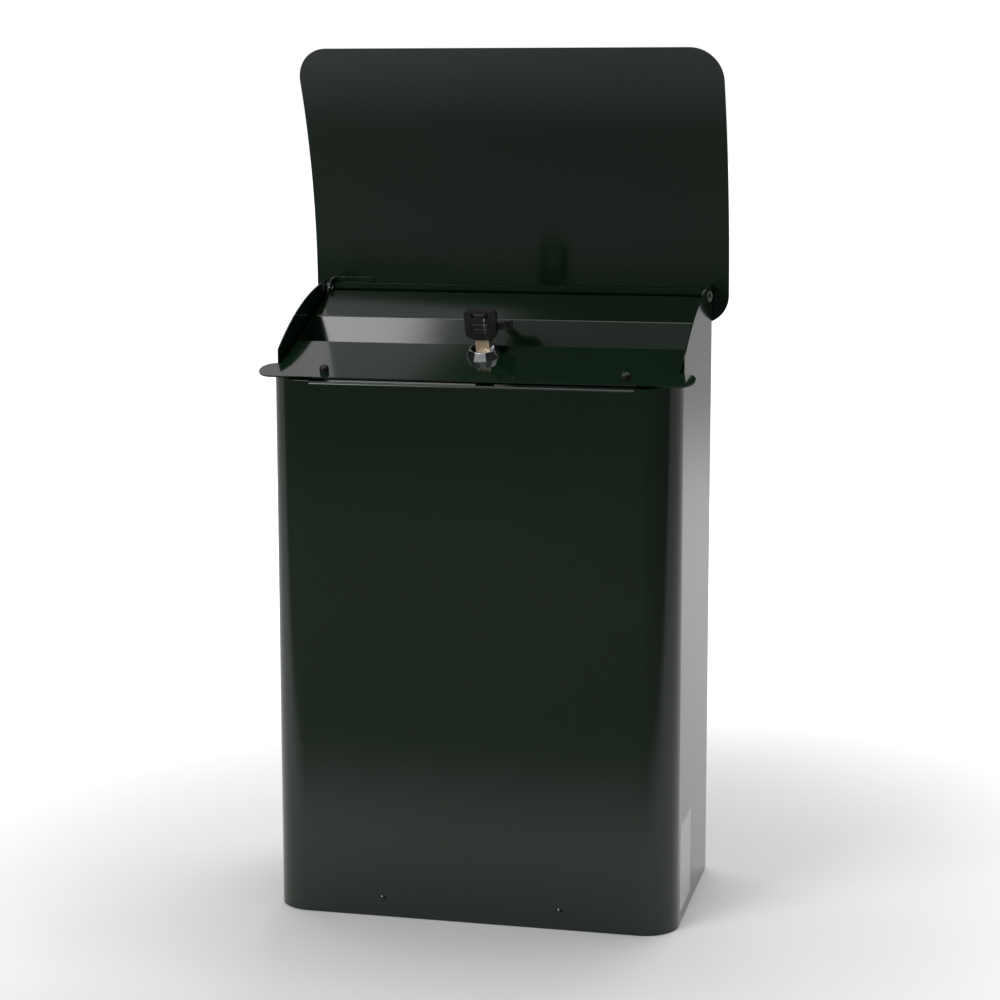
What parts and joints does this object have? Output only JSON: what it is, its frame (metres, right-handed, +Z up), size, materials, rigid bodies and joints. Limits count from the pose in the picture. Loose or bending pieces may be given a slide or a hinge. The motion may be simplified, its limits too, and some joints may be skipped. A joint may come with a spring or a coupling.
{
  "type": "wall mounted mailbox",
  "caption": "Wall mounted mailbox of folded sheet steel with a curved outer lid, a locking inner lid with a mail slot, a cam lock and keys on a ring.",
  "frame": {"origin": "centre of the four wall screws, on the wall's surface", "axes": "+Y into the wall, +Z up, +X to the right as seen from the front"},
  "size_m": [0.4, 0.2246, 0.781],
  "materials": {
    "green_paint": "glossy dark green powder coat",
    "green_rivets": "glossy dark green",
    "black_plastic": "satin moulded",
    "white_nylon": "natural nylon",
    "black_rubber": "satin",
    "chrome": "polished",
    "steel": "zinc plated",
    "key_brass": "nickel plated brass",
    "label_film": "blank silver film"
  },
  "bodies": {
    "box": {"body_shell": "green_paint", "back_panel": "green_paint", "floor_plate": "green_paint", "floor_rivets": "green_rivets", "back_rivets": "green_rivets", "wall_spacers": "black_plastic", "pivot_rivets": "green_rivets", "pivot_washers": "white_nylon", "side_label": "label_film"},
    "outer_lid": {"outer_lid": "green_paint", "lid_bracket_right": "green_paint", "lid_bracket_left": "green_paint"},
    "inner_lid": {"inner_lid": "green_paint", "lid_bumpers": "black_rubber", "lock_housing": "chrome", "lock_nut": "steel"},
    "lock_plug": {"lock_plug": "chrome", "lock_cam": "steel", "cam_washer": "steel", "cam_screw": "steel"},
    "key": {"key_blade": "key_brass", "key_bow": "black_plastic"},
    "key_ring": {"key_ring": "steel"},
    "spare_key": {"spare_key_blade": "key_brass", "spare_key_bow": "black_plastic"}
  },
  "joints": [
    {"name": "outer_lid_hinge", "type": "hinge", "parent": "box", "child": "outer_lid", "pos_m": [0, -0.0365, 0.254], "axis": [-1, 0, 0], "range_deg": [-86, 0]},
    {"name": "inner_lid_hinge", "type": "hinge", "parent": "box", "child": "inner_lid", "pos_m": [0, -0.0365, 0.254], "axis": [-1, 0, 0], "range_deg": [0, 65]},
    {"name": "key_turn", "type": "hinge", "parent": "inner_lid", "child": "lock_plug", "pos_m": [0, -0.166, 0.20856], "axis": [0, 0.3008, -0.9537], "range_deg": [0, 90]},
    {"name": "key_pull", "type": "slide", "parent": "lock_plug", "child": "key", "axis": [0, -0.3008, 0.9537], "range_m": [0, 0.024]},
    {"name": "ring_turn", "type": "hinge", "parent": "key", "child": "key_ring", "pos_m": [0.0065, -0.17407, 0.23413], "axis": [0.9848, -0.0522, 0.1656], "range_deg": [0, 20]},
    {"name": "spare_key_swing", "type": "hinge", "parent": "key_ring", "child": "spare_key", "pos_m": [0.00721, -0.16215, 0.23367], "axis": [0.1632, -0.0478, -0.9854], "range_deg": [0, 20]}
  ]
}
